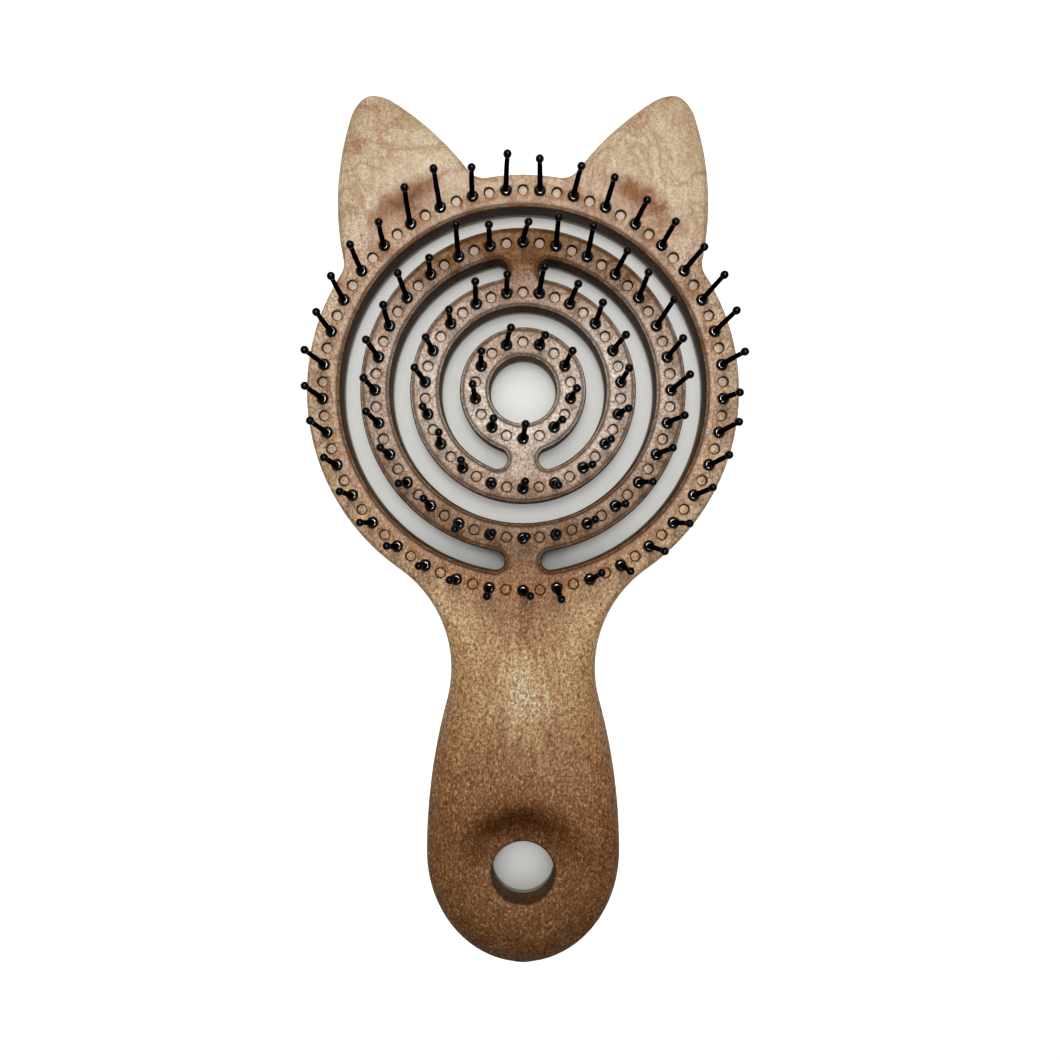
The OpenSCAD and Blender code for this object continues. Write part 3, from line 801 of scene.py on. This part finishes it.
def shown_straw(add, along, apart, upper):
    """How much straw shows: the straw attribute, which also carries painted light and shade, with clouds and streaks,
    veins on the head and lines at the waist.

    The lines at the waist fan out from the origin, as the flow does below the neck. Returns the share and the
    noise of clouds and streaks.
    """
    mottle = add("TexNoise", {"Vector": apart, "Scale": 1 / MOTTLE_MM, "Detail": 4.0, "Distortion": 1.0})
    lay = add("Mapping", {"Vector": apart, "Rotation": (0, 0, 0.5), "Scale": tuple(1 / size for size in STREAK_MM)})
    streak = add("TexNoise", {"Vector": lay, "Scale": 1.0, "Detail": 3.0, "Distortion": 1.2})
    flow = add("Math", [mottle, streak], "ADD")
    cloud = add("MapRange", [flow, 0.7, 1.3, -0.2, 0.2])
    swirl = add("TexNoise", {
        "Vector": apart, "Scale": 1 / VEIN_MM, "Detail": 4.0, "Roughness": 0.55, "Distortion": 1.6,
    })
    away = add("Math", [swirl, 0.5], "SUBTRACT")
    near = add("Math", [away], "ABSOLUTE")
    vein = add("MapRange", [near, 0, 0.06, -0.34, 0.05])
    veined = add("Math", [vein, upper, cloud], "MULTIPLY_ADD")
    below = add("Math", [0, (along, 1)], "SUBTRACT")
    fan = add("Math", [along, below], "ARCTAN2")
    across = add("Math", [fan, WAIST_MM], "MULTIPLY")
    slow = add("Math", [(along, 1), 0.14], "MULTIPLY")
    spread = add("CombineXYZ", [across, slow, 4])
    ribs = add("TexNoise", {"Vector": spread, "Scale": 1 / RIB_MM, "Detail": 2.0})
    rib = add("MapRange", [ribs, 0.35, 0.65, -0.3, 0.3])
    centre = add("Math", [(along, 1), WAIST_MM], "ADD")
    off = add("Math", [centre], "ABSOLUTE")
    aside = add("Math", [along], "ABSOLUTE")
    tall = add("MapRange", [off, 18, 9])
    wide = add("MapRange", [aside, 11, 5])
    waist = add("Math", [tall, wide], "MULTIPLY")
    ribbed = add("Math", [rib, waist, veined], "MULTIPLY_ADD")
    share = add("Attribute", attribute_name="straw")
    return add("Math", [(share, "Fac"), ribbed], "ADD"), flow


def fibres(add, colour, mm, apart, coarse, hole_y, colours):
    """Lays dark and pale fibres over a colour, as strongly as coarse says, in arcs below the hanging hole."""
    hole = add("VectorMath", [mm, (0, hole_y, 0)], "SUBTRACT")
    reach = add("VectorMath", [hole], "LENGTH")
    ends = add("SeparateXYZ", [hole])
    bearing = add("Math", [ends, (ends, 1)], "ARCTAN2")
    arc = add("Math", [bearing, ARCS_MM], "MULTIPLY")
    rounds = add("CombineXYZ", [(reach, "Value"), arc])
    near = add("MapRange", [(reach, "Value"), ARCS_MM + 10, ARCS_MM])
    lower = add("MapRange", [(ends, 1), 6, -6])
    beside = add("Math", [near, lower], "MULTIPLY")
    close = add("Math", [beside, coarse], "MULTIPLY")
    plain, curved = (apart, coarse, FIBRE_MM), (rounds, close, ARC_MM)
    layers = [
        (-28, "fibre_dark", plain), (20, "fibre_pale", plain), (47, "fibre_dark", plain), (-12, "fibre_pale", plain),
        (80, "fibre_dark", plain), (8, "fibre_dark", curved), (-8, "fibre_pale", curved),
    ]
    for k, (degrees, hue, (field, amount, size)) in enumerate(layers):
        turned = add("Mapping", {
            "Vector": field, "Rotation": (0, 0, math.radians(degrees)),
            "Scale": tuple(1 / side for side in size), "Location": (k * 13.7, k * 7.1, 0),
        })
        strand = add("TexNoise", {"Vector": turned, "Scale": 1.0, "Detail": 1.0, "Roughness": 0.5})
        mask = add("MapRange", [strand, 0.56, 0.7, 0, 0.62])
        thin = add("Math", [mask, amount], "MULTIPLY")
        colour = mixed(add, thin, colour, linear(getattr(colours, hue)))
    return colour


def straw_composite(where, sizes, seed, ring=False, cover=False):
    """Moulded straw-filled polypropylene: satin, with golden straw in a brown resin that the flow has mottled.

    Where much straw shows it is pale, and where none does the resin is deep and dull; on the head the pale is partly
    a painted sheen. A fine grain and short fibres break up the handle more than the head. Grooves and the walls of
    fronts are dark without fibres, as painted shade, the walls of covers lighter, as painted bounce light, and peg
    ends pale, painted lighter toward the top.
    """
    colours = sizes.colours
    base, deep = (colours.ring, colours.ring_deep) if ring else (colours.brown, colours.fibre_dark)
    golden, pale = (colours.ring_pale_and_sheen, colours.ring_pale_and_sheen) if ring else (colours.golden, colours.pale)
    material = bpy.data.materials.new("straw composite, " + where)
    add = cleared(material)
    mm = millimetres(add)
    along = add("SeparateXYZ", [mm])
    upper = add("MapRange", [(along, 1), *HEAD_BAND])
    apart = add("Mapping", {"Vector": mm, "Location": (seed * 31.0, seed * 17.0, 0)})
    shows, flow = shown_straw(add, along, apart, upper)
    rich = add("MapRange", [shows, 0, -1])
    resin = mixed(add, rich, linear(base), linear(deep))
    straw = add("MapRange", [shows])
    dense = add("MapRange", [shows, 0.7, 1.2, 0, 0.65])
    # Painted sheen: the head and dense straw take the whiter pale instead of golden.
    pale_and_painted_sheen = add("Math", [upper, dense], "MAXIMUM")
    tint = mixed(add, pale_and_painted_sheen, linear(golden), linear(pale))
    colour = mixed(add, straw, resin, tint)
    long = add("MapRange", [(along, 1), *FIBRE_BAND, 0.15, 0.9])
    bare = add("MapRange", [rich, 0, 1, 1, 0.2])
    coarse = add("Math", [long, bare], "MULTIPLY")
    hole_y = sizes.head.middle_y - sizes.handle.hang_reach
    colour = fibres(add, colour, mm, apart, coarse, hole_y, colours)
    grain = add("TexNoise", {"Vector": apart, "Scale": 1 / GRAIN_MM, "Detail": 3.0, "Roughness": 0.75})
    speck = add("MapRange", [grain, 0.32, 0.68, -0.7, 0.7])
    sandy = add("MapRange", [(along, 1), *GRAIN_BAND, 0.5])
    amount = add("Math", [speck, sandy], "MULTIPLY")
    fine = add("VectorMath", [amount, (0.8, 1.08, 1.45), (1, 1, 1)], "MULTIPLY_ADD")
    tone = add("VectorMath", [colour, fine], "MULTIPLY")
    mark = add("Attribute", attribute_name="mark")
    # Painted shade: the groove's mark mixes in the dark wall colour as a thin line of shade along the slots.
    groove = add("MapRange", [(mark, "Fac"), 0, -1, 0, 0.85])
    with_painted_groove_shade = mixed(add, groove, tone, linear(colours.wall))
    # Painted light: the peg ends show their pale colour more toward the top of the head, where the light falls.
    high = add("MapRange", [(along, 1), *PEG_LIGHT_BAND, 0, 0.4])
    peg = add("MapRange", [(mark, "Fac"), 1.2, 1.8, 0, high])
    ended = mixed(add, peg, with_painted_groove_shade, linear(colours.peg))
    # Painted shade: steep walls that carry a mark take the dark wall colour; on covers they take the light back wall
    # colour instead, as painted bounce light.
    facing = add("SeparateXYZ", [(add("NewGeometry"), "Normal")])
    level = add("Math", [(facing, 2)], "ABSOLUTE")
    steep = add("MapRange", [level, 0.92, 0.45])
    painted_wall_shade = add("Math", [steep, (mark, "Fac")], "MULTIPLY", use_clamp=True)
    shell = mixed(add, painted_wall_shade, ended, linear(colours.back_wall_painted_bounce if cover else colours.wall))
    rough = add("MapRange", [(along, 1), *GLOSS_BAND, 0.38, 0.55])
    dull = add("Math", [painted_wall_shade, 0.4, rough], "MULTIPLY_ADD")
    relief = add("Math", [flow, 2, grain], "MULTIPLY_ADD")
    bump = add("Bump", {"Height": relief, "Strength": 0.7, "Distance": 0.0001})
    gloss = add("MapRange", [(along, 1), *GLOSS_BAND, 0.3, 0.2])
    flat = add("MapRange", [rich, 0, 1, 1, 0.15])
    sheen = add("Math", [gloss, flat], "MULTIPLY")
    skin = add("BsdfPrincipled", {
        "Base Color": shell, "Roughness": dull, "Normal": bump, "Specular IOR Level": sheen,
    })
    add("OutputMaterial", [skin])
    return material


def black_nylon(colours):
    """Injection-moulded black nylon: polished collars that catch small glints, dull shanks and faintly lit balls."""
    material = bpy.data.materials.new("black nylon")
    add = cleared(material)
    mm = millimetres(add)
    ripple = add("TexNoise", {"Vector": mm, "Scale": 1 / RIPPLE_MM, "Detail": 2.0})
    rough = add("MapRange", [ripple, 0.3, 0.7, 0.1, 0.2])
    polish = add("Attribute", attribute_name="mark")
    skin = add("BsdfPrincipled", {
        "Base Color": linear(colours.nylon), "Roughness": rough, "Specular IOR Level": (polish, "Fac"),
    })
    add("OutputMaterial", [skin])
    return material


def paper(colours, holes):
    """Matt white paper. Seen by the camera it glows white, with painted shadow under the holes and where the brush
    closes over it.

    holes are the (y, radius, level) of the round openings above it; level is how bright the painted shadow leaves the
    paper.
    """
    material = bpy.data.materials.new("matt paper")
    add = cleared(material)
    ray = add("LightPath")
    # Painted shadow: the camera's glow is dimmed where the brush closes over the paper, more toward the handle, and
    # under the two holes.
    closed = add("AmbientOcclusion", {"Distance": 0.022}, samples=16)
    shut = add("MapRange", [(closed, "AO"), 0.2, 0.55, 1, 0])
    place = add("TexCoord")
    along = add("SeparateXYZ", [(place, "Object")])
    depth = add("MapRange", [(along, 1), 0.003, -0.006, -0.4, -0.62])
    level = 1.0
    for y, radius, painted_shadow_level in holes:
        away = add("VectorMath", [(place, "Object"), (0, y, 0)], "DISTANCE")
        under = add("MapRange", [(away, "Value"), radius, radius + 0.002, painted_shadow_level])
        level = add("Math", [level, under], "MINIMUM")
    painted_shadow_glow = add("Math", [shut, depth, level], "MULTIPLY_ADD")
    glow = add("Emission", {"Color": (1, 0.995, 0.975, 1), "Strength": painted_shadow_glow})
    shaded = add("BsdfDiffuse", {"Color": linear(colours.shaded)})
    seen = add("AddShader", [shaded, glow])
    matt = add("BsdfDiffuse", {"Color": linear(colours.floor)})
    either = add("MixShader", [(ray, "Is Camera Ray"), matt, seen])
    add("OutputMaterial", [either])
    return material


# Operators


class BRUSH_OT_front(bpy.types.Operator):
    """Build the front moulding with rim, ears and handle."""

    bl_idname = "brush.front"
    bl_label = "Front moulding"

    def execute(self, context):
        sizes = read(context.scene)
        piece = front_moulding(sizes, straw_composite("front", sizes, 1))
        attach(piece, "frame")
        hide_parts("front_frame", "handle_front", "rim_pegs")
        return {"FINISHED"}


class BRUSH_OT_back(bpy.types.Operator):
    """Build the rear cover of rim, ears and handle."""

    bl_idname = "brush.back"
    bl_label = "Rear shell"

    def execute(self, context):
        sizes = read(context.scene)
        piece = rear_shell(sizes, straw_composite("back", sizes, 2, cover=True))
        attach(piece, "frame")
        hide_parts("rear_cover", "handle_rear")
        return {"FINISHED"}


class BRUSH_OT_rings(bpy.types.Operator):
    """Build the floating rings, front and back, each with the neck that carries it."""

    bl_idname = "brush.rings"
    bl_label = "Floating rings"

    def execute(self, context):
        sizes = read(context.scene)
        head = sizes.head
        face = straw_composite("ring faces", sizes, 3, ring=True)
        back = straw_composite("ring backs", sizes, 4, cover=True)
        for i in range(RIM):
            start, stop = (
                tuple(to_frame(np.array([0, NECK_SIDES[i] * (head.slot_end[i][1] - shift), head.head_t / 2]), sizes))
                for shift in (0, head.neck_bend)
            )
            for front in (True, False):
                piece = ring_layer(sizes, i, front, face if front else back)
                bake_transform(piece)
                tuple(start)
                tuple(stop)
                ring, neck = f"{RING_WORDS[i]}_ring", NECK_OF_RING[i]
                if front:
                    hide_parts(ring, ring + "_pegs", neck + "_front")
                else:
                    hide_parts(ring + "_cover", neck + "_rear")
        return {"FINISHED"}


class BRUSH_OT_pins(bpy.types.Operator):
    """Build the ball-tip pins of the rim and of every ring."""

    bl_idname = "brush.pins"
    bl_label = "Ball-tip pins"

    def execute(self, context):
        sizes = read(context.scene)
        nylon, rng = black_nylon(sizes.colours), np.random.default_rng(sizes.pins.seed)
        for i, word in enumerate(RING_WORDS):
            piece = pin_set(sizes, i, nylon, rng)
            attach(piece, BODY_OF_RING[i])
            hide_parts("rim_pins" if i == RIM else f"{word}_ring_pins")
        return {"FINISHED"}


class BRUSH_OT_stage(bpy.types.Operator):
    """Set up the paper floor, the soft light and the camera straight above."""

    bl_idname = "brush.stage"
    bl_label = "Stage"

    def execute(self, context):
        scene = context.scene
        sizes = read(scene)
        head, handle = sizes.head, sizes.handle
        far, low = 2, -0.0002
        mesh = bpy.data.meshes.new("paper_floor")
        mesh.from_pydata([(-far, -far, low), (far, -far, low), (far, far, low), (-far, far, low)], [], [(0, 1, 2, 3)])
        # The last value of each hole is the painted shadow's level under it.
        holes = [
            (head.middle_y * MM, head.ring_in[RIM] * MM, 0.62),
            ((head.middle_y - handle.hang_reach) * MM, handle.hang_r * MM, 0.7),
        ]
        mesh.materials.append(paper(sizes.colours, holes))
        floor = placed("paper_floor", mesh)
        for name, place, target, size, spread, watts in (
            ("softbox", (0.0, 0.09, 0.46), (0, 0.04, 0), (0.12, 0.12), 55, 0.2),
            ("window", (0.0, 0.22, 0.38), (0, 0, 0), (0.22, 0.16), 180, 0.45),
            ("glint", (0.05, -0.10, 0.40), (0, 0, 0), (0.06, 0.06), 180, 0.5),
        ):
            lamp = bpy.data.lights.new(name, "AREA")
            lamp.shape, lamp.energy, lamp.spread = "RECTANGLE", watts, math.radians(spread)
            lamp.size, lamp.size_y = size
            box = placed(name, lamp, place)
            box.rotation_euler = (Vector(target) - Vector(place)).to_track_quat("-Z", "Y").to_euler()
            box.visible_diffuse = name != "glint"
        world = bpy.data.worlds.new("studio")
        scene.world = world
        add = cleared(world)
        level = add("MapRange", [(add("LightPath"), "Is Camera Ray"), 0, 1, 0.06])
        sky = add("Background", {"Color": (1, 1, 1, 1), "Strength": level})
        add("OutputWorld", [sky])
        camera = bpy.data.cameras.new("overhead")
        camera.sensor_width, camera.lens, camera.clip_start = 36.0, 32.4, 0.01
        scene.camera = placed("overhead", camera, (0.00143, 0.0002, 0.201))
        scene.view_settings.view_transform = "Standard"
        return {"FINISHED"}


class VIEW3D_PT_brush(bpy.types.Panel):
    """Sidebar panel with the steps and the sizes they use."""

    bl_idname = "VIEW3D_PT_brush"
    bl_label = "Hollow ring brush"
    bl_space_type = "VIEW_3D"
    bl_region_type = "UI"
    bl_category = "Brush"

    def draw(self, context):
        for step in STEPS:
            self.layout.operator(step.bl_idname)
        for group, kind in GROUPS.items():
            box = self.layout.box()
            box.label(text=kind.__name__)
            for name in kind.__annotations__:
                box.prop(getattr(context.scene, group), name)


STEPS = (BRUSH_OT_front, BRUSH_OT_back, BRUSH_OT_rings, BRUSH_OT_pins, BRUSH_OT_stage)
CLASSES = (*GROUPS.values(), *STEPS, VIEW3D_PT_brush)


def register():
    for kind in CLASSES:
        bpy.utils.register_class(kind)
    for name, kind in GROUPS.items():
        setattr(bpy.types.Scene, name, bpy.props.PointerProperty(type=kind))


def unregister():
    for name in GROUPS:
        delattr(bpy.types.Scene, name)
    for kind in reversed(CLASSES):
        bpy.utils.unregister_class(kind)


def main():
    register()
    for step in STEPS:
        area, name = step.bl_idname.split(".")
        getattr(getattr(bpy.ops, area), name)()


if __name__ == "__main__":
    main()
